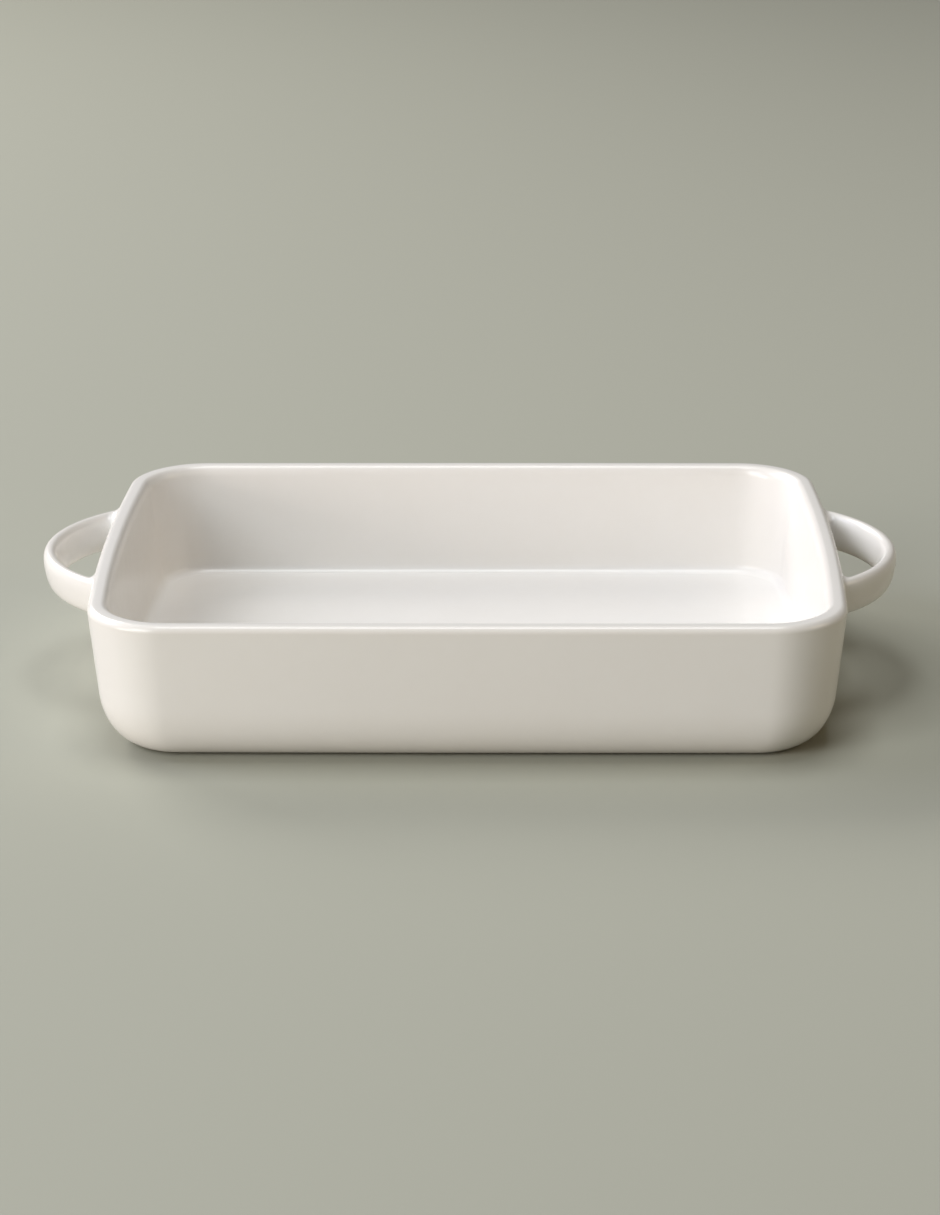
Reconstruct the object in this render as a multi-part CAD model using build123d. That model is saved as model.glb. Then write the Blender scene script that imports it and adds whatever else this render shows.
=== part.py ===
from build123d import *
import math
import os

# A glazed stoneware lasagna dish: a deep oblong dish with soft corners, and two loop handles
# that were formed apart from it and luted onto its end walls.
# Millimetres. +Z is up, the foot stands on Z = 0, and the handles point along +X and -X.

# Outside of the dish. The rim's length and width are taken at the middle of each wall, where the
# leaning walls would reach the height of the rim, before its edge is rounded. The walls bow
# outwards, the end walls more: a bow is how far a wall's middle stands out past its corners.
rim_length = 345.5
rim_width = 262.5
end_bow = 5
side_bow = 0.5
dish_height = 66
wall_draft = 5.5
rim_corner_radius = 37
base_corner_radius = 19

# The round under the walls is a quarter of an ellipse, taller than it is wide.
base_round_reach = 19
base_round_height = 28.5
base_round_steps = 8

# Wall, floor and rim
wall_thickness = 9.2
floor_thickness = 8.8
floor_fillet = 4.5
rim_outer_round = 3.1
rim_flat = 2.2

# Foot: a bare ring of clay that lifts the glaze off the shelf of the kiln, round a shallow recess
foot_lift = 1
foot_setback = 3
foot_width = 8
foot_edge_round = 0.4
foot_recess = 3.3
recess_fillet = 1.5

# Handles: an upright strap that follows one arc from wall to wall and leans out at its top.
# The arc's radius and reach are those of the strap's middle line.
strap_thickness = 7.4
strap_height = 17.6
strap_edge_flat = 0.8
strap_lean = 9.5
handle_arc_radius = 69
handle_reach = 24.5
handle_below_rim = 2.4
root_fillet = 2.5
root_depth = 6

# Worked out from the sizes above: the angles at which the base round starts and meets the wall
draft = math.radians(wall_draft)
round_top_angle = math.atan2(base_round_height * math.sin(draft), base_round_reach * math.cos(draft))
round_top = base_round_height * (1 - math.sin(round_top_angle))
round_low_angle = math.asin(1 - foot_lift / base_round_height)


def wall_inset(height):
    """How far the outside of the wall stands in from the rim's outline at this height."""
    return (dish_height - height) * math.tan(draft)


# What follows from those: the foot's outline, the floor, and the rounds that share a thickness
base_inset = wall_inset(round_top) + base_round_reach * math.cos(round_top_angle)
foot_inset = base_inset + foot_setback
floor_top = foot_recess + floor_thickness
rim_inner_round = wall_thickness - rim_outer_round - rim_flat
strap_edge_round = (strap_thickness - strap_edge_flat) / 2


def corner_radius(inset):
    """Corners tighten evenly from the rim's outline to the base's."""
    return rim_corner_radius - (rim_corner_radius - base_corner_radius) * inset / base_inset


def outline(inset, height):
    """The rim's bowed oblong, drawn in by inset, at this height."""
    length = rim_length / 2 - inset
    width = rim_width / 2 - inset
    corner_x = length - end_bow
    corner_y = width - side_bow
    right_end = ThreePointArc((corner_x, -corner_y), (length, 0), (corner_x, corner_y))
    rear_side = ThreePointArc((corner_x, corner_y), (0, width), (-corner_x, corner_y))
    left_end = ThreePointArc((-corner_x, corner_y), (-length, 0), (-corner_x, -corner_y))
    front_side = ThreePointArc((-corner_x, -corner_y), (0, -width), (corner_x, -corner_y))
    oblong = make_face([right_end, rear_side, left_end, front_side])
    return Pos(0, 0, height) * fillet(oblong.vertices(), corner_radius(inset))


def make_outer_block():
    """The outside of the dish as a solid block: base round, leaning walls and the rim's outer edge."""
    steps = []
    for step in range(base_round_steps + 1):
        angle = round_low_angle + (round_top_angle - round_low_angle) * step / base_round_steps
        inset = base_inset - base_round_reach * math.cos(angle)
        steps.append(outline(inset, base_round_height * (1 - math.sin(angle))))
    base = loft(steps)
    walls = loft([steps[-1], outline(0, dish_height)], ruled=True)
    block = base + walls
    rim_edges = block.edges().group_by(Axis.Z)[-1]
    return fillet(rim_edges, rim_outer_round)


def make_cavity():
    """The space inside: leaning walls, and a fillet all round the floor."""
    floor = outline(wall_thickness + wall_inset(floor_top), floor_top)
    mouth = outline(wall_thickness, dish_height)
    cavity = loft([floor, mouth], ruled=True)
    floor_edges = cavity.edges().group_by(Axis.Z)[0]
    return fillet(floor_edges, floor_fillet)


def make_foot_ring():
    """The ring of clay that the dish stands on, with its two lower edges softened."""
    ring = extrude(outline(foot_inset, 0) - outline(foot_inset + foot_width, 0), foot_lift)
    lower_edges = ring.edges().group_by(Axis.Z)[0]
    return fillet(lower_edges, foot_edge_round)


def make_recess():
    """The shallow space under the floor, inside the foot ring."""
    recess = extrude(outline(foot_inset + foot_width, 0), foot_recess)
    upper_edges = recess.edges().group_by(Axis.Z)[-1]
    return fillet(upper_edges, recess_fillet)


def make_dish_body(outer):
    """The dish itself, in one piece with its foot ring."""
    dish = outer - make_cavity() - make_recess() + make_foot_ring()
    rim = dish.faces().sort_by(Axis.Z)[-1]
    return fillet(rim.inner_wires()[0].edges(), rim_inner_round)


def make_strap():
    """The right-hand handle's strap alone, running on into the dish at both ends."""
    strap_z = dish_height - handle_below_rim - strap_height / 2
    wall_x = rim_length / 2 - wall_inset(strap_z)
    tip_x = wall_x + handle_reach
    centre_x = tip_x - handle_arc_radius
    half_turn = math.degrees(math.acos((wall_x - root_depth - centre_x) / handle_arc_radius))
    section = RectangleRounded(strap_thickness, strap_height, strap_edge_round)
    at_tip = Plane.XZ * Pos(tip_x, strap_z) * Rot(0, 0, -strap_lean) * section
    pivot = Axis((centre_x, 0, 0), (0, 0, 1))
    return revolve(at_tip.rotate(pivot, -half_turn), pivot, 2 * half_turn)


def make_handle(outer, turn):
    """One handle: the strap turned to its end of the dish, spread by a fillet round each root
    and cut to the face of the end wall."""
    strap = make_strap().rotate(Axis.Z, turn)
    joined = outer + strap
    blended = fillet(new_edges(outer, strap, combined=joined), root_fillet)
    return blended - outer


outer_block = make_outer_block()
dish_body = make_dish_body(outer_block)
right_handle = make_handle(outer_block, 0)
left_handle = make_handle(outer_block, 180)

os.makedirs("parts", exist_ok=True)
export_step(dish_body, "parts/dish_body.step")
export_step(right_handle, "parts/right_handle.step")
export_step(left_handle, "parts/left_handle.step")
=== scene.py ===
# %% [markdown]
# A lasagna dish in white-glazed stoneware, on a plain pale floor.
#
# The real dish is three pieces of clay: a deep oblong dish, pressed in a mould, and two straps
# that are bent to an arc and luted on to its end walls before one glaze covers everything.
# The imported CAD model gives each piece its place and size. This script loads it as a fixed
# frame, builds a finer surface for each piece inside it, and adds glaze, floor and light.

# %% Load the frame
import math
import bpy
from mathutils import Matrix, Vector


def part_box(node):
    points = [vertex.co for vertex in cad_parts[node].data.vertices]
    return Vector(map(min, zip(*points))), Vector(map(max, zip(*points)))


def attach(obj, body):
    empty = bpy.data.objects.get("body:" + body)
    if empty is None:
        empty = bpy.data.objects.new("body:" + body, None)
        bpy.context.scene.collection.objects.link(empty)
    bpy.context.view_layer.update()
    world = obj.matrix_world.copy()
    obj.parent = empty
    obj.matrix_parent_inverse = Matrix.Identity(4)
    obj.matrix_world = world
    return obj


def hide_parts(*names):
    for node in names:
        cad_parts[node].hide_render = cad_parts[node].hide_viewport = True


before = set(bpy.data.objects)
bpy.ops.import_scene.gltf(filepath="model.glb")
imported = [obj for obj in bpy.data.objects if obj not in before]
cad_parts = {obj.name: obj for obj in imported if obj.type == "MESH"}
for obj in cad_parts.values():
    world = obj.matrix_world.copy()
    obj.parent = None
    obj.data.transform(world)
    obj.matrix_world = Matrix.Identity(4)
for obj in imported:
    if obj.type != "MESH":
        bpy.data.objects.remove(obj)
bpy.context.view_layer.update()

print("CAD nodes:", sorted(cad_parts))

# %% [markdown]
# Sizes come first. The frame gives the reach of every piece, so the outside of the dish and the
# handles is read from it. What a box can't tell, such as the lean of a wall or the radius of
# its edge, is named here in millimetres, as a potter's drawing would have it.

# %% Sizes of the dish
MM = 0.001
CM = 10 * MM

dish_low, dish_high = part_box("dish_body")
dish_height = dish_high.z
wall_draft = math.radians(5.5)
rim_outer_round = 3.1 * MM

# The round of the rim takes a little off the oblong in which the leaning walls would end
rim_round_loss = rim_outer_round * ((1 + math.sin(wall_draft)) / math.cos(wall_draft) - 1)
rim_length = dish_high.x - dish_low.x + 2 * rim_round_loss
rim_width = dish_high.y - dish_low.y + 2 * rim_round_loss
rim_corner_radius = 34 * MM
base_corner_radius = 17.5 * MM

# The walls bow outwards: how far the middle of an end or a side stands out past its corners
end_bow = 5 * MM
side_bow = 0.5 * MM
print("rim, mm:", round(rim_length / MM, 1), "x", round(rim_width / MM, 1))

# %% Sizes of the base round, the wall, the floor and the foot
base_round_reach = 19 * MM
base_round_height = 28.5 * MM
wall_thickness = 9.2 * MM
floor_thickness = 8.8 * MM
floor_fillet = 4.5 * MM
foot_lift = 1 * MM
foot_setback = 3 * MM
foot_width = 8 * MM
foot_edge_round = 0.4 * MM
foot_recess = 3.3 * MM
recess_fillet = 1.5 * MM
glaze_lip = 1.2 * MM


def wall_inset(height):
    """How far the leaning wall stands in from the rim's oblong at this height."""
    return (dish_height - height) * math.tan(wall_draft)


# The angles at which the base round meets the wall and the foot, and what follows from them
round_rise = base_round_height * math.sin(wall_draft)
round_top_angle = math.atan2(round_rise, base_round_reach * math.cos(wall_draft))
round_low_angle = math.asin(1 - foot_lift / base_round_height)
round_top = base_round_height * (1 - math.sin(round_top_angle))
base_inset = wall_inset(round_top) + base_round_reach * math.cos(round_top_angle)
foot_inset = base_inset + foot_setback
floor_top = foot_recess + floor_thickness
print("base round meets the wall at z, mm:", round(round_top / MM, 2))

# %% Sizes of the handles
handle_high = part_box("right_handle")[1]
strap_thickness = 7.4 * MM
strap_height = 17.6 * MM
strap_lean = math.radians(9.5)
handle_below_rim = 2.4 * MM
handle_arc_radius = 69 * MM
root_fillet = 3.2 * MM
strap_middle = dish_height - handle_below_rim - strap_height / 2
print("strap's middle at z, mm:", round(strap_middle / MM, 2))

# %% [markdown]
# The camera stands where the photographer's did. Its angles, its distance and its lens were
# found by fitting the rim, the base, the floor's edge and the handles to the photograph. It is
# made before the pieces, so that each can be looked at in the right view.

# %% Camera
camera_azimuth = math.radians(0.753)
camera_elevation = math.radians(18.435)
camera_roll = math.radians(-0.203)
camera_distance = 1.7049
camera_aim = Vector((0.12 * MM, 0, 31.79 * MM))
camera_lens = 106.47


def direction(azimuth, elevation):
    """The unit vector from the dish to whoever looks at it from these angles."""
    level = math.cos(elevation)
    return Vector((math.sin(azimuth) * level, -math.cos(azimuth) * level, math.sin(elevation)))


def make_camera():
    """A camera that looks at the middle of the dish, with the photograph's small tilt to one side."""
    back = direction(camera_azimuth, camera_elevation)
    right = Vector((0, 0, 1)).cross(back).normalized()
    turn = Matrix((right, back.cross(right), back)).transposed() @ Matrix.Rotation(camera_roll, 3, "Z")
    data = bpy.data.cameras.new("camera")
    data.lens = camera_lens
    camera = bpy.data.objects.new("camera", data)
    camera.matrix_world = Matrix.Translation(camera_aim + back * camera_distance) @ turn.to_4x4()
    bpy.context.scene.collection.objects.link(camera)
    bpy.context.scene.camera = camera
    return camera


camera = make_camera()
print("camera at, m:", [round(x, 3) for x in camera.matrix_world.translation])

# %% [markdown]
# Both the shapes and the finishes below are worked out by node trees. Written out link by link,
# a formula in nodes is hard to read, so a small helper lets it be written as arithmetic: a
# Field stands for one output of the tree, and each sum on it adds the node that works it out.

# %% A helper that turns arithmetic into nodes
class Field:
    """One output in a node tree."""

    def __init__(self, wiring, socket):
        self.wiring = wiring
        self.socket = socket

    def is_vector(self):
        """Whether this output is a vector."""
        return self.socket.type == "VECTOR"

    def __add__(self, other):
        return self.wiring.work("ADD", self, other)

    def __sub__(self, other):
        return self.wiring.work("SUBTRACT", self, other)

    def __rsub__(self, other):
        return self.wiring.work("SUBTRACT", other, self)

    def __mul__(self, other):
        return self.wiring.times(self, other)

    def __truediv__(self, other):
        return self.wiring.work("DIVIDE", self, other)

    def __rtruediv__(self, other):
        return self.wiring.work("DIVIDE", other, self)

    __radd__ = __add__
    __rmul__ = __mul__


class Wiring:
    """Adds nodes to one tree, and joins them up."""

    def __init__(self, tree):
        self.tree = tree

    def plug(self, value, socket):
        """Links a field to a socket, or sets the socket to a plain value."""
        if isinstance(value, Field):
            self.tree.links.new(value.socket, socket)
        else:
            socket.default_value = value

    def node(self, kind, inputs=(), **settings):
        """A new node. Its inputs are named, or numbered where several share a name."""
        made = self.tree.nodes.new(kind)
        for name, value in settings.items():
            setattr(made, name, value)
        for key, value in dict(inputs).items():
            self.plug(value, made.inputs[key])
        return made

    def field(self, kind, output, inputs=(), **settings):
        """One output of a new node."""
        return Field(self, self.node(kind, inputs, **settings).outputs[output])

    def work(self, operation, *values):
        """One step of arithmetic, on vectors if any of the values is one."""
        if any(isinstance(v, Field) and v.is_vector() for v in values):
            output = "Value" if operation == "DOT_PRODUCT" else "Vector"
            return self.field("ShaderNodeVectorMath", output, enumerate(values), operation=operation)
        return self.field("ShaderNodeMath", 0, enumerate(values), operation=operation)

    def times(self, one, other):
        """A product of two numbers, or of a vector and a number."""
        if isinstance(one, Field) and one.is_vector():
            return self.field("ShaderNodeVectorMath", "Vector", {0: one, "Scale": other}, operation="SCALE")
        if isinstance(other, Field) and other.is_vector():
            return self.times(other, one)
        return self.work("MULTIPLY", one, other)

    def clamp(self, value):
        """A number kept between 0 and 1."""
        return self.work("MINIMUM", self.work("MAXIMUM", value, 0.0), 1.0)

    def join(self, x, y, z):
        """A vector from its three parts."""
        return self.field("ShaderNodeCombineXYZ", 0, {0: x, 1: y, 2: z})

    def split(self, vector):
        """The three parts of a vector."""
        made = self.node("ShaderNodeSeparateXYZ", {0: vector})
        return [Field(self, output) for output in made.outputs]


print("helper ready: arithmetic on fields adds nodes")

# %% [markdown]
# Every shape is a Geometry Nodes tree with named inputs for its sizes. A piece starts as a
# plain object, the tree's inputs are set on its modifier, and the evaluated result becomes its
# own mesh, so that nothing live is left on it.

# %% Build a piece with a tree
def geometry_tree(title, inputs):
    """An empty Geometry Nodes tree with these named inputs, and the wiring to fill it."""
    tree = bpy.data.node_groups.new(title, "GeometryNodeTree")
    tree.interface.new_socket("Geometry", in_out="OUTPUT", socket_type="NodeSocketGeometry")
    tree.interface.new_socket("Geometry", in_out="INPUT", socket_type="NodeSocketGeometry")
    for name, kind in inputs.items():
        tree.interface.new_socket(name, in_out="INPUT", socket_type="NodeSocket" + kind)
    wiring = Wiring(tree)
    given = wiring.node("NodeGroupInput")
    sizes = {name: Field(wiring, given.outputs[name]) for name in ["Geometry", *inputs]}
    return wiring, sizes


def close_tree(wiring, geometry, material):
    """Ends a tree: real geometry, smooth shading, and the piece's material."""
    real = wiring.field("GeometryNodeRealizeInstances", 0, {"Geometry": geometry})
    smooth = wiring.field("GeometryNodeSetShadeSmooth", 0, {"Geometry": real})
    finished = wiring.field("GeometryNodeSetMaterial", 0, {"Geometry": smooth, "Material": material})
    wiring.node("NodeGroupOutput", {"Geometry": finished})
    return wiring.tree


def make_piece(name, start, tree, values):
    """Runs a tree on a starting mesh, and keeps what comes out as a plain mesh."""
    piece = bpy.data.objects.new(name, start)
    modifier = piece.modifiers.new(tree.name, "NODES")
    modifier.node_group = tree
    for item in tree.interface.items_tree:
        if item.in_out == "INPUT" and item.name in values:
            modifier[item.identifier] = values[item.name]
    bpy.context.scene.collection.objects.link(piece)
    graph = bpy.context.evaluated_depsgraph_get()
    worked = piece.evaluated_get(graph)
    mesh = bpy.data.meshes.new_from_object(worked, preserve_all_data_layers=True, depsgraph=graph)
    piece.modifiers.clear()
    piece.data = mesh
    mesh.name = name
    return piece


def tell(piece):
    """Prints a piece's size and whether its surface is closed."""
    mesh = piece.data
    uses = [0] * len(mesh.edges)
    for loop in mesh.loops:
        uses[loop.edge_index] += 1
    spots = [v.co for v in mesh.vertices]
    low = [round(min(p[i] for p in spots) / MM, 2) for i in range(3)]
    high = [round(max(p[i] for p in spots) / MM, 2) for i in range(3)]
    mesh.calc_loop_triangles()
    corners = [[spots[i] for i in triangle.vertices] for triangle in mesh.loop_triangles]
    volume = sum(a.dot(b.cross(c)) for a, b, c in corners) / 6
    print(piece.name, len(corners), "triangles, open edges:", sum(n != 2 for n in uses))
    print("  box, mm:", low, high, "volume, cm3:", round(volume / CM ** 3, 1))


print("piece maker ready")

# %% Steps that both trees take
merge_distance = 0.01 * MM


def positions(wiring):
    """Where each point is."""
    return wiring.field("GeometryNodeInputPosition", 0)


def read_number(wiring, name):
    """A number that is stored on each point."""
    return wiring.field("GeometryNodeInputNamedAttribute", 0, {"Name": name}, data_type="FLOAT")


def store_number(wiring, geometry, name, value):
    """Stores a number on each point."""
    inputs = {"Geometry": geometry, "Name": name, "Value": value}
    return wiring.field("GeometryNodeStoreNamedAttribute", 0, inputs, data_type="FLOAT", domain="POINT")


def move_points(wiring, geometry, position):
    """Moves each point to a new position."""
    return wiring.field("GeometryNodeSetPosition", 0, {"Geometry": geometry, "Position": position})


def merge_points(wiring, geometry):
    """Makes one point of those that lie on the same spot."""
    inputs = {"Geometry": geometry, "Distance": merge_distance}
    return wiring.field("GeometryNodeMergeByDistance", 0, inputs)


def turn_about_z(wiring, geometry, angle):
    """Turns the geometry about the Z axis."""
    inputs = {"Geometry": geometry, "Rotation": wiring.join(0.0, 0.0, angle)}
    return wiring.field("GeometryNodeTransform", 0, inputs)


print("points closer than this become one, mm:", merge_distance / MM)

# %% [markdown]
# The glaze is an opaque satin-gloss white. On the real dish it is a coat of glass about half a
# millimetre thick: it draws thin over edges, where the clay warms it, and pools in hollows. A
# flat white would look like plastic, so the colour follows a "glaze depth" that each piece
# stores on its own surface, the gloss varies a little, and two fine bumps stand for the slow
# ripple of a dipped coat and its faint orange peel. The foot ring is wiped clean before firing,
# so "bare clay" on the surface shows the rough buff body there instead.

# %% Colour mixes and noise
def colour_mix(wiring, share, first, second):
    """A colour between two others."""
    made = wiring.node("ShaderNodeMix", {"Factor": share, 6: first, 7: second}, data_type="RGBA")
    return Field(wiring, made.outputs[2])


def noise(wiring, place, size, detail, seed):
    """Smooth noise from 0 to 1 whose features are about this large."""
    settings = {"Vector": place + (seed, seed, seed), "Scale": 1 / size, "Detail": detail}
    return wiring.field("ShaderNodeTexNoise", 0, settings)


def attribute(wiring, name):
    """A number that a piece stores on its surface."""
    return wiring.field("ShaderNodeAttribute", "Fac", attribute_name=name)


print("colour mix and noise ready")

# %% Colours and sizes of the glaze
full_glaze = (0.86, 0.845, 0.82, 1)
thin_glaze = (0.78, 0.74, 0.685, 1)
buff_clay = (0.52, 0.43, 0.33, 1)
dark_clay = (0.36, 0.28, 0.20, 1)

# How large the features of each noise are
cloud_size = 60 * MM
ripple_size = 32 * MM
fine_size = 6 * MM
peel_size = 3.2 * MM
grain_size = 0.9 * MM

# How far the clouds and the fine noise sway the depth of the glaze and its roughness
cloud_on_depth = 0.25
fine_on_depth = 0.12
glaze_roughness = 0.23
cloud_on_roughness = 0.04
fine_on_roughness = 0.02
clay_adds_roughness = 0.6

# How high each bump stands
ripple_height = 0.11 * MM
peel_height = 0.006 * MM
grain_height = 0.12 * MM

# The edge of the wiped ring: how far it strays, where it starts and how sharp it is
edge_stray = 0.3
edge_start = 0.45
edge_sharpness = 8
print("glaze roughness:", glaze_roughness, "ripple, mm:", ripple_height / MM)

# %% Glaze and bare clay
def make_glaze():
    """The one finish of the whole dish."""
    material = bpy.data.materials.new("white_glaze")
    material.use_nodes = True
    wiring = Wiring(material.node_tree)
    shader = material.node_tree.nodes["Principled BSDF"]
    place = wiring.field("ShaderNodeTexCoord", "Object")
    cloud = noise(wiring, place, cloud_size, detail=3, seed=1)
    fine = noise(wiring, place, fine_size, detail=2, seed=2)
    clouded = attribute(wiring, "glaze_depth") + (cloud - 0.5) * cloud_on_depth
    depth = wiring.clamp(clouded + (fine - 0.5) * fine_on_depth)
    coat = colour_mix(wiring, depth, thin_glaze, full_glaze)
    grain = noise(wiring, place, grain_size, detail=4, seed=3)
    clay = colour_mix(wiring, grain, dark_clay, buff_clay)
    wavy_edge = attribute(wiring, "bare_clay") + (fine - 0.5) * edge_stray
    bare = wiring.clamp((wavy_edge - edge_start) * edge_sharpness)
    wiring.plug(colour_mix(wiring, bare, coat, clay), shader.inputs["Base Color"])
    roughness = glaze_roughness + (cloud - 0.5) * cloud_on_roughness + (fine - 0.5) * fine_on_roughness
    wiring.plug(roughness + bare * clay_adds_roughness, shader.inputs["Roughness"])
    ripple = (noise(wiring, place, ripple_size, detail=1, seed=4) - 0.5) * ripple_height
    peel = (noise(wiring, place, peel_size, detail=1, seed=5) - 0.5) * peel_height
    height = ripple + peel + grain * bare * grain_height
    bump = wiring.field("ShaderNodeBump", "Normal", {"Height": height, "Distance": 1.0, "Strength": 1.0})
    wiring.plug(bump, shader.inputs["Normal"])
    shader.inputs["IOR"].default_value = 1.5
    return material


glaze = make_glaze()
print("glaze:", len(glaze.node_tree.nodes), "nodes")

# %% [markdown]
# The dish is a rounded oblong at every height, with ends and sides that bow a little, so one
# drawing gives it all: the section through a wall. The section is a row of points, each with its
# distance in from the rim's oblong and its height. It runs as a turner's template does: out from
# the middle of the underside, round the foot, up the outside, over the rim, down the inside and
# across the floor to the middle again.

# %% Draw arcs and straight runs of the section
def curve_points(centre, radii, start, end, steps):
    """Points on an arc of an ellipse. Angle 0 points outwards, and a quarter turn points up."""
    points = []
    for step in range(steps + 1):
        angle = start + (end - start) * step / steps
        points.append((centre[0] - radii[0] * math.cos(angle), centre[1] + radii[1] * math.sin(angle)))
    return points


def run_points(start, end, steps):
    """Points between two others, which are left out."""
    shares = [step / steps for step in range(1, steps)]
    return [tuple(a + (b - a) * share for a, b in zip(start, end)) for share in shares]


def bend_points(start, corner, end, steps):
    """A soft corner: points on a parabola that leaves and arrives along the two straight runs."""
    points = []
    for step in range(steps + 1):
        t = step / steps
        parts = zip(start, corner, end)
        points.append(tuple(a * (1 - t) ** 2 + 2 * b * t * (1 - t) + c * t * t for a, b, c in parts))
    return points


QUARTER = math.pi / 2
print("section tools ready")

# %% Section of the foot and the underside
ring_inner = foot_inset + foot_width
underside_steps = 5
recess_steps = 5
ring_edge_steps = 3


def foot_section():
    """From the middle of the underside out to the foot ring's outer side."""
    recess_corner = (ring_inner + recess_fillet, foot_recess - recess_fillet)
    points = [(rim_width / 2, foot_recess)]
    points += run_points(points[0], (recess_corner[0], foot_recess), underside_steps)
    points += curve_points(recess_corner, (recess_fillet, recess_fillet), QUARTER, 0, recess_steps)
    edge_radii = (foot_edge_round, foot_edge_round)
    inner_edge = (ring_inner - foot_edge_round, foot_edge_round)
    points += curve_points(inner_edge, edge_radii, math.pi, 3 * QUARTER, ring_edge_steps)
    outer_edge = (foot_inset + foot_edge_round, foot_edge_round)
    points += curve_points(outer_edge, edge_radii, -QUARTER, 0, ring_edge_steps)
    points.append((foot_inset, foot_lift - foot_edge_round))
    return points


foot_points = foot_section()
print("foot section:", len(foot_points), "points")

# %% Section of the outside
under_steps = 3
lip_steps = 5
base_round_steps = 26
outer_wall_steps = 8


def outside_section():
    """From the foot ring out under the base, round it and up the wall to the rim's outer round."""
    centre = (base_inset, base_round_height)
    radii = (base_round_reach, base_round_height)
    round_points = curve_points(centre, radii, -round_low_angle, -round_top_angle, base_round_steps)
    lip = round_points[0]
    near = round_points[1]
    share = glaze_lip / math.dist(lip, near)
    on_round = tuple(a + (b - a) * share for a, b in zip(lip, near))
    under = (lip[0] + glaze_lip, foot_lift)
    points = [(foot_inset, foot_lift)]
    points += run_points(points[0], under, under_steps)
    points += bend_points(under, lip, on_round, lip_steps)
    points += [p for p in round_points if p[1] > on_round[1]]
    rim_start = (wall_inset(dish_height - rim_outer_round), dish_height - rim_outer_round)
    points += run_points(points[-1], rim_start, outer_wall_steps)
    return points


outside_points = outside_section()
print("outside section:", len(outside_points), "points")

# %% Section of the rim
inner_ease_width = 3.9 * MM
inner_ease_height = 6 * MM
rim_round_steps = 12
inner_ease_steps = 14


def rim_section():
    """Over the rim: a tight round outside, then a longer easing down into the dish."""
    round_inset = rim_outer_round * (1 + math.sin(wall_draft)) / math.cos(wall_draft)
    centre = (round_inset, dish_height - rim_outer_round)
    points = curve_points(centre, (rim_outer_round, rim_outer_round), -wall_draft, QUARTER, rim_round_steps)
    meet = math.atan2(inner_ease_width, inner_ease_height * math.tan(wall_draft))
    drop = inner_ease_height * (1 - math.cos(meet))
    ease_inset = wall_thickness + drop * math.tan(wall_draft) - inner_ease_width * math.sin(meet)
    centre = (ease_inset, dish_height - inner_ease_height)
    radii = (inner_ease_width, inner_ease_height)
    points += curve_points(centre, radii, QUARTER, QUARTER + meet, inner_ease_steps)
    return points


rim_points = rim_section()
rim_flat = rim_points[rim_round_steps + 1][0] - rim_points[rim_round_steps][0]
print("rim section:", len(rim_points), "points, flat on top, mm:", round(rim_flat / MM, 2))

# %% Section of the inside
inner_wall_steps = 10
floor_fillet_steps = 14
floor_steps = 9


def inside_section():
    """Down the inner wall, round the fillet and across the floor to the middle."""
    fillet_height = floor_top + floor_fillet
    wall_point = fillet_height - floor_fillet * math.sin(wall_draft)
    fillet_inset = wall_thickness + wall_inset(wall_point) + floor_fillet * math.cos(wall_draft)
    centre = (fillet_inset, fillet_height)
    radii = (floor_fillet, floor_fillet)
    fillet_points = curve_points(centre, radii, -wall_draft, -QUARTER, floor_fillet_steps)
    points = run_points(rim_points[-1], fillet_points[0], inner_wall_steps)
    points += fillet_points
    middle = (rim_width / 2, floor_top)
    points += run_points(fillet_points[-1], middle, floor_steps)
    points.append(middle)
    return points


inside_points = inside_section()
section = foot_points + outside_points + rim_points + inside_points
print("whole section:", len(section), "points")

# %% [markdown]
# Each point of the section also says how deep the glaze lies on it and whether the clay is bare.
# Where the section bends outwards the coat runs thin, and where it bends inwards it pools, so
# the depth is worked out from the bend itself, softened along the surface.

# %% Glaze depth along the section
even_depth = 0.6
bend_effect = 0.9 * MM
bend_reach = 1.6 * MM
bare_height = 0.95 * foot_lift


def turn_at(before, here, after):
    """How far the section turns outwards at a point, in radians."""
    first = math.atan2(here[1] - before[1], here[0] - before[0])
    second = math.atan2(after[1] - here[1], after[0] - here[0])
    return -((second - first + math.pi) % (2 * math.pi) - math.pi)


def glaze_depths(points):
    """A glaze depth for each point, from 0 where it is thinnest to 1 where it pools."""
    turns = [0, *(turn_at(*points[i - 1:i + 2]) for i in range(1, len(points) - 1)), 0]
    along = [0]
    for before, here in zip(points, points[1:]):
        along.append(along[-1] + math.dist(before, here))
    depths = []
    for here in along:
        nearby = sum(turn for turn, place in zip(turns, along) if abs(place - here) < bend_reach)
        depths.append(min(1, max(0, even_depth - bend_effect * nearby / (2 * bend_reach))))
    return depths


def is_bare(point):
    """Whether a point lies on the foot ring, which is wiped clean of glaze."""
    inset, height = point
    on_ring = foot_inset - foot_edge_round < inset < ring_inner + foot_edge_round
    return on_ring and height < bare_height


depths = glaze_depths(section)
bare = [float(is_bare(point)) for point in section]
print("glaze depth from", round(min(depths), 2), "to", round(max(depths), 2), "bare points:", int(sum(bare)))

# %% Make the section a mesh that the tree can read
def section_mesh():
    """A line of points with x the inset and z the height, and two numbers on each point."""
    mesh = bpy.data.meshes.new("section")
    edges = [(i, i + 1) for i in range(len(section) - 1)]
    mesh.from_pydata([(inset, 0, height) for inset, height in section], edges, [])
    for name, values in (("glaze_depth", depths), ("bare_clay", bare)):
        mesh.attributes.new(name, "FLOAT", "POINT").data.foreach_set("value", values)
    return mesh


dish_section = section_mesh()
print("section mesh:", len(dish_section.vertices), "points")

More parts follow.
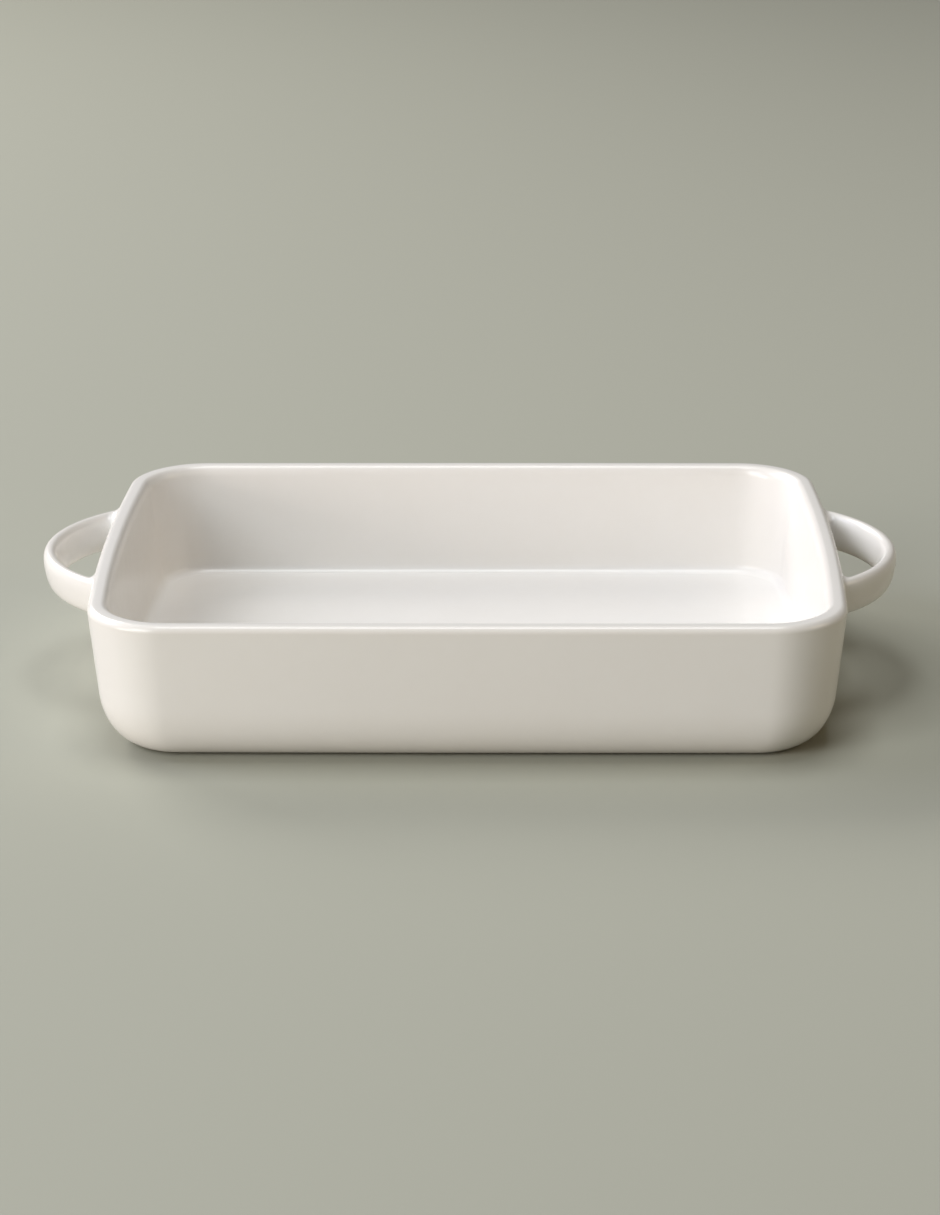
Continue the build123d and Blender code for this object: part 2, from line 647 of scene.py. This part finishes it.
# %% [markdown]
# Geometry Nodes carry the section round the oblong. A grid has a column for each step round the
# dish and a row for each point of the section. A column knows which corner it belongs to and
# how far round it is, and a row knows its inset and height. A point of a rounded oblong is then
# the corner's centre plus the corner's radius in the column's direction. The corners tighten
# towards the base by a steady rule, and on the floor they close on the middle line. The bow
# comes last: it leaves the middle of an end where it is and draws in the points beside it, by
# the square of how far each is along the end, and the same for the sides.

# %% Tree that carries the section round
least_half = 1 * MM


def carry_round_tree():
    """Turns a section mesh into the whole dish."""
    wiring, size = geometry_tree("Carry the section round", {
        "Rim Length": "Float", "Rim Width": "Float", "Rim Corner Radius": "Float",
        "Corner Tightening": "Float", "Steady Inset": "Float", "End Bow": "Float", "Side Bow": "Float",
        "Corner Steps": "Int", "Side Steps": "Int", "Material": "Material",
    })
    points = wiring.field("GeometryNodeAttributeDomainSize", "Point Count", {0: size["Geometry"]})
    quarter_steps = size["Corner Steps"] + size["Side Steps"]
    grid = wiring.field("GeometryNodeMeshGrid", "Mesh", {
        "Size X": 1.0, "Size Y": 1.0, "Vertices X": quarter_steps * 4 + 1, "Vertices Y": points,
    })
    across, along, _ = wiring.split(positions(wiring))
    row = wiring.work("ROUND", (along + 0.5) * (points - 1))

    def on_row(kind, value):
        """What the section has at the point that this row stands for."""
        inputs = {0: size["Geometry"], "Value": value, "Index": row}
        return wiring.field("GeometryNodeSampleIndex", "Value", inputs, data_type=kind, domain="POINT")

    def corner_sign(number):
        """On which side of the middle a corner lies, in x and in y."""
        turn = (number + 0.5) * QUARTER
        in_x = wiring.work("SIGN", wiring.work("COSINE", turn))
        in_y = wiring.work("SIGN", wiring.work("SINE", turn))
        return wiring.join(in_x, in_y, 0.0)

    inset, _, height = wiring.split(on_row("FLOAT_VECTOR", positions(wiring)))
    quarters = (across + 0.5) * 4
    corner = wiring.work("FLOOR", quarters)
    part = quarters - corner
    corner_share = size["Corner Steps"] / quarter_steps
    round_corner = wiring.clamp(part / corner_share)
    along_side = wiring.clamp((part - corner_share) / (1 - corner_share))
    angle = (corner + round_corner) * QUARTER
    side_start = corner_sign(corner)
    sign_x, sign_y, _ = wiring.split(side_start + (corner_sign(corner + 1) - side_start) * along_side)
    steady = size["Steady Inset"]
    half_length = size["Rim Length"] * 0.5 - inset
    half_width = size["Rim Width"] * 0.5 - inset
    closing = wiring.clamp(half_width / (size["Rim Width"] * 0.5 - steady))
    tightened = size["Rim Corner Radius"] - size["Corner Tightening"] * wiring.work("MINIMUM", inset, steady)
    radius = tightened * closing
    x = sign_x * (half_length - radius) + radius * wiring.work("COSINE", angle)
    y = sign_y * (half_width - radius) + radius * wiring.work("SINE", angle)
    share_x = x / wiring.work("MAXIMUM", half_length, least_half)
    share_y = y / wiring.work("MAXIMUM", half_width, least_half)
    bowed_x = x - share_x * share_y * share_y * size["End Bow"] * closing
    bowed_y = y - share_y * share_x * share_x * size["Side Bow"] * closing
    stored = grid
    for name in ("glaze_depth", "bare_clay"):
        stored = store_number(wiring, stored, name, on_row("FLOAT", read_number(wiring, name)))
    placed = move_points(wiring, stored, wiring.join(bowed_x, bowed_y, height))
    return close_tree(wiring, merge_points(wiring, placed), size["Material"])


dish_tree = carry_round_tree()
print(dish_tree.name, "has", len(dish_tree.nodes), "nodes")

# %% Make the dish
dish = make_piece("stoneware_dish", dish_section, dish_tree, {
    "Rim Length": rim_length,
    "Rim Width": rim_width,
    "Rim Corner Radius": rim_corner_radius,
    "Corner Tightening": (rim_corner_radius - base_corner_radius) / base_inset,
    "Steady Inset": ring_inner + 2 * recess_fillet,
    "End Bow": end_bow,
    "Side Bow": side_bow,
    "Corner Steps": 22,
    "Side Steps": 44,
    "Material": glaze,
})
tell(dish)

# %% [markdown]
# A handle is a strap of clay, thicker in its middle than at its edges, bent on edge to an arc
# and leaned out a little. It follows a path, so the tree sweeps a section along an arc. Where
# it meets the wall, the potter works a fillet of slip round the root with a finger. A rolling
# ball gives the same shape: for each point near the wall, the tree slides a ball along the
# strap until it touches the wall as well, and lays the point on the ball between the two.

# %% Distance from the outside of the dish
# A point deep inside the wall counts as this share of the rim's round out from its middle
least_out_share = 0.2


def wall_distance(wiring, size, point):
    """How far a point is from the end wall and its round rim, and which way the wall faces there."""
    x, y, z = wiring.split(point)
    sine = wiring.work("SINE", size["Draft"])
    cosine = wiring.work("COSINE", size["Draft"])
    rim_round = size["Rim Round"]
    share_y = y / (size["Rim Width"] * 0.5)
    bowed = x + share_y * share_y * size["End Bow"]
    level = bowed - (size["Rim Length"] * 0.5 - rim_round * (sine + 1) / cosine)
    upright = z - (size["Rim Height"] - rim_round)
    out = wiring.work("MAXIMUM", level * cosine - upright * sine, rim_round * least_out_share)
    up = wiring.work("MAXIMUM", level * sine + upright * cosine, 0.0)
    away = wiring.work("SQRT", out * out + up * up)
    facing = wiring.join(out * cosine + up * sine, 0.0, up * cosine - out * sine)
    return away - rim_round, facing * (1 / away)


print("wall distance ready")

# %% Roll a ball round the root
# The ball's slides towards the wall, the least steepness they reckon with and the skirt's slope
ball_tries = 4
least_steepness = 0.05
skirt_slope = 0.05


def dot(wiring, one, other):
    """The dot product of two vectors."""
    return wiring.work("DOT_PRODUCT", one, other)


def square_to(wiring, vector, axis):
    """The direction of what is left of a vector once its part along an axis is taken away."""
    return wiring.work("NORMALIZE", vector - axis * dot(wiring, vector, axis))


def strap_normal(wiring, size, point):
    """Which way the strap's surface faces, with nothing of the caps that close its ends."""
    x, y, _ = wiring.split(point)
    along = wiring.work("NORMALIZE", wiring.join(y * -1, x - size["Arc Centre"], 0.0))
    return square_to(wiring, wiring.field("GeometryNodeInputNormal", 0), along)


def root_flare(wiring, size, point, normal):
    """Where a point of the strap goes when a ball is rolled along the strap and the wall."""
    ball = size["Root Fillet"]
    slide = square_to(wiring, wall_distance(wiring, size, point)[1], normal)
    start = point + normal * ball
    travel = 0.0
    for _ in range(ball_tries):
        gap, facing = wall_distance(wiring, size, start + slide * travel)
        steepness = wiring.work("MAXIMUM", dot(wiring, facing, slide), least_steepness)
        travel = travel + (ball - gap) / steepness
    travel = wiring.work("MAXIMUM", travel, 0.0)
    centre = start + slide * travel
    facing = wall_distance(wiring, size, centre)[1]
    swing = wiring.work("ARCCOSINE", dot(wiring, normal, facing))
    reach = ball * wiring.work("TANGENT", swing * 0.5)
    rolled = swing * wiring.clamp(travel / reach)
    towards = square_to(wiring, facing, normal)
    touch = normal * wiring.work("COSINE", rolled) + towards * wiring.work("SINE", rolled)
    past = wiring.work("MAXIMUM", travel - reach, 0.0)
    skirt = wiring.work("MINIMUM", past, size["Skirt"])
    spread = centre - touch * ball + square_to(wiring, normal, facing) * skirt
    gap, facing = wall_distance(wiring, size, spread)
    sink = wiring.work("MINIMUM", skirt * skirt_slope + (past - skirt), size["Sink"])
    under = wiring.work("GREATER_THAN", past, 0.0)
    return spread - facing * ((gap + sink) * under), rolled / swing


print("rolling ball ready")

# %% Glaze depth on a strap
# It thins towards the upper and lower edges, by a power of the height, and pools in the roots
strap_glaze = 0.62
edge_thinning = 0.4
edge_power = 5.0
root_pooling = 0.35
print("strap's glaze depth, middle and edge:", strap_glaze, round(strap_glaze - edge_thinning, 2))

# %% Tree that sweeps a handle
def handle_tree():
    """Sweeps the strap's section along its arc, works its roots and turns it to its end of the dish."""
    wiring, size = geometry_tree("Sweep a luted handle", {
        "Arc Radius": "Float", "Arc Centre": "Float", "Half Sweep": "Float", "Strap Middle": "Float",
        "Strap Height": "Float", "Strap Thickness": "Float", "Crown": "Float", "Lean": "Float",
        "Rim Length": "Float", "Rim Width": "Float", "Rim Height": "Float", "Rim Round": "Float",
        "End Bow": "Float", "Draft": "Float", "Root Fillet": "Float", "Skirt": "Float",
        "Sink": "Float", "Turn": "Float", "Arc Steps": "Int", "Section Steps": "Int",
        "Material": "Material",
    })
    arc = wiring.field("GeometryNodeCurveArc", "Curve", {
        "Resolution": size["Arc Steps"] + 1, "Radius": size["Arc Radius"],
        "Start Angle": size["Half Sweep"] * -1, "Sweep Angle": size["Half Sweep"] * 2,
    }, mode="RADIUS")
    upright = wiring.field("GeometryNodeSetCurveNormal", 0, {"Curve": arc}, mode="Z_UP")
    circle = wiring.field("GeometryNodeCurvePrimitiveCircle", "Curve", {
        "Resolution": size["Section Steps"], "Radius": 1.0,
    }, mode="RADIUS")
    rise, side, _ = wiring.split(positions(wiring))

    def crowned(value):
        """One part of a point on the circle, swelled towards the corners of a square."""
        swelled = wiring.work("POWER", wiring.work("ABSOLUTE", value), 2 / size["Crown"])
        return wiring.work("SIGN", value) * swelled

    edge = wiring.work("POWER", wiring.work("ABSOLUTE", crowned(rise)), edge_power)
    edged = store_number(wiring, circle, "edge", edge)
    out = crowned(side) * size["Strap Thickness"] * 0.5
    down = crowned(rise) * size["Strap Height"] * -0.5
    drawn = move_points(wiring, edged, wiring.join(out, down, 0.0))
    strap = wiring.field("GeometryNodeCurveToMesh", 0, {
        "Curve": upright, "Profile Curve": turn_about_z(wiring, drawn, size["Lean"]), "Fill Caps": True,
    })
    placed = wiring.field("GeometryNodeTransform", 0, {
        "Geometry": strap, "Translation": wiring.join(size["Arc Centre"], 0.0, size["Strap Middle"]),
    })
    point = positions(wiring)
    flared, worked = root_flare(wiring, size, point, strap_normal(wiring, size, point))
    depth = strap_glaze - read_number(wiring, "edge") * edge_thinning + worked * root_pooling
    stored = store_number(wiring, placed, "glaze_depth", wiring.clamp(depth))
    merged = merge_points(wiring, move_points(wiring, stored, flared))
    return close_tree(wiring, turn_about_z(wiring, merged, size["Turn"]), size["Material"])


strap_tree = handle_tree()
print(strap_tree.name, "has", len(strap_tree.nodes), "nodes")

# %% Sizes of the sweep
strap_crown = 2.5


def swell(value):
    """A sine or a cosine, swelled as the tree swells its circle."""
    return math.copysign(abs(value) ** (2 / strap_crown), value)


def section_reach():
    """How far the leaned section reaches out from the strap's middle line."""
    reach = 0
    for step in range(360):
        angle = math.radians(step)
        side = swell(math.sin(angle)) * strap_thickness / 2
        rise = swell(math.cos(angle)) * strap_height / 2
        reach = max(reach, side * math.cos(strap_lean) + rise * math.sin(strap_lean))
    return reach


strap_tip = handle_high.x - section_reach()
arc_centre = strap_tip - handle_arc_radius
wall_face = rim_length / 2 - wall_inset(strap_middle)
root_depth = 6.5 * MM
half_sweep = math.acos((wall_face - root_depth - arc_centre) / handle_arc_radius)
print("strap's middle line reaches out from the wall, mm:", round((strap_tip - wall_face) / MM, 2))

# %% Make the two handles
handles = {}
for side, turn in (("right", 0.0), ("left", math.pi)):
    handles[side] = make_piece(side + "_strap_handle", bpy.data.meshes.new("strap"), strap_tree, {
        "Arc Radius": handle_arc_radius,
        "Arc Centre": arc_centre,
        "Half Sweep": half_sweep,
        "Strap Middle": strap_middle,
        "Strap Height": strap_height,
        "Strap Thickness": strap_thickness,
        "Crown": strap_crown,
        "Lean": strap_lean,
        "Rim Length": rim_length,
        "Rim Width": rim_width,
        "Rim Height": dish_height,
        "Rim Round": rim_outer_round,
        "End Bow": end_bow,
        "Draft": wall_draft,
        "Root Fillet": root_fillet,
        "Skirt": 1 * MM,
        "Sink": 1.5 * MM,
        "Turn": turn,
        "Arc Steps": 200,
        "Section Steps": 64,
        "Material": glaze,
    })
    tell(handles[side])

# %% [markdown]
# Each new piece stands for one CAD node and rides on the CAD body that the node belongs to. The
# part has one rigid body, because a fired dish has nothing that moves.

# %% Tie the pieces to the frame
pairs = ((dish, "dish_body"), (handles["right"], "right_handle"), (handles["left"], "left_handle"))
for piece, node in pairs:
    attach(piece, "root")
    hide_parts(node)
    low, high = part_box(node)
    print(piece.name, "stands for", node, [round(x / MM, 2) for x in (*low, *high)])

# %% [markdown]
# The floor is plain and pale, a matt grey-green that is neither white nor dark, so that the
# white rim stands out from it and its bounce still lights the walls from below.

# %% Floor
floor_half = 6
floor_colour = (0.385, 0.385, 0.322, 1)


def make_floor():
    """A wide plain floor that the foot stands on."""
    corners = [(x * floor_half, y * floor_half, 0) for x, y in ((-1, -1), (1, -1), (1, 1), (-1, 1))]
    mesh = bpy.data.meshes.new("floor")
    mesh.from_pydata(corners, [], [(0, 1, 2, 3)])
    material = bpy.data.materials.new("pale_floor")
    material.use_nodes = True
    shader = material.node_tree.nodes["Principled BSDF"]
    shader.inputs["Base Color"].default_value = floor_colour
    shader.inputs["Roughness"].default_value = 0.85
    shader.inputs["Specular IOR Level"].default_value = 0.2
    mesh.materials.append(material)
    floor = bpy.data.objects.new("floor", mesh)
    bpy.context.scene.collection.objects.link(floor)


make_floor()
print("floor, m:", 2 * floor_half, "square")

# %% [markdown]
# The light in the photograph is a wide soft window on the left. It reaches a little behind the
# dish, so the left corner, the rims and the inside of the right wall are brightest, the front
# is a step darker, and the right corner falls away into shade. One large lamp would give a
# single hard gradient, so the window is made of five softboxes, from low at the front to higher
# behind. A weak warm box on the right and a cool one overhead stand for what the room sends
# back. Their strengths and colours were found by rendering the dish under one box at a time and
# weighing the pictures until their sum came near the photograph, and then trimmed.

# %% Lights
softbox_distance = 3.2
surround_colour = (1.0, 0.97, 0.92, 1)
surround_strength = 0.01

# Name, azimuth and elevation in degrees, width in metres, power in watts, colour.
# The azimuth is where the box stands: 0 in front of the dish, 90 on its right.
softboxes = (
    ("window_low", -60, 8, 0.9, 30, (1.0, 0.9, 0.84)),
    ("window_low_front", -40, 14, 1.5, 23, (1.0, 0.89, 0.8)),
    ("window_front", -40, 32, 1.5, 40, (0.77, 0.84, 0.89)),
    ("window_side", -100, 32, 1.5, 24, (0.78, 0.8, 1.0)),
    ("window_rear", -140, 32, 1.5, 57, (1.0, 0.985, 0.96)),
    ("warm_return", 80, 25, 1.5, 16, (1.0, 0.82, 0.58)),
    ("cool_overhead", 0, 90, 1.5, 45, (0.95, 0.975, 1.0)),
)


def softbox(name, azimuth, elevation, width, power, colour):
    """A square area light that looks at the dish."""
    back = direction(math.radians(azimuth), math.radians(elevation))
    turn = back.to_track_quat("Z", "Y").to_matrix().to_4x4()
    data = bpy.data.lights.new(name, "AREA")
    data.size = width
    data.energy = power
    data.color = colour
    lamp = bpy.data.objects.new(name, data)
    lamp.matrix_world = Matrix.Translation(back * softbox_distance) @ turn
    bpy.context.scene.collection.objects.link(lamp)


def make_surround(colour, strength):
    """An even surround, for what the glaze reflects beyond the softboxes."""
    world = bpy.data.worlds.new("surround")
    world.use_nodes = True
    background = world.node_tree.nodes["Background"]
    background.inputs["Color"].default_value = colour
    background.inputs["Strength"].default_value = strength
    bpy.context.scene.world = world


for row in softboxes:
    softbox(*row)
make_surround(surround_colour, surround_strength)
bpy.context.scene.view_settings.view_transform = "Standard"
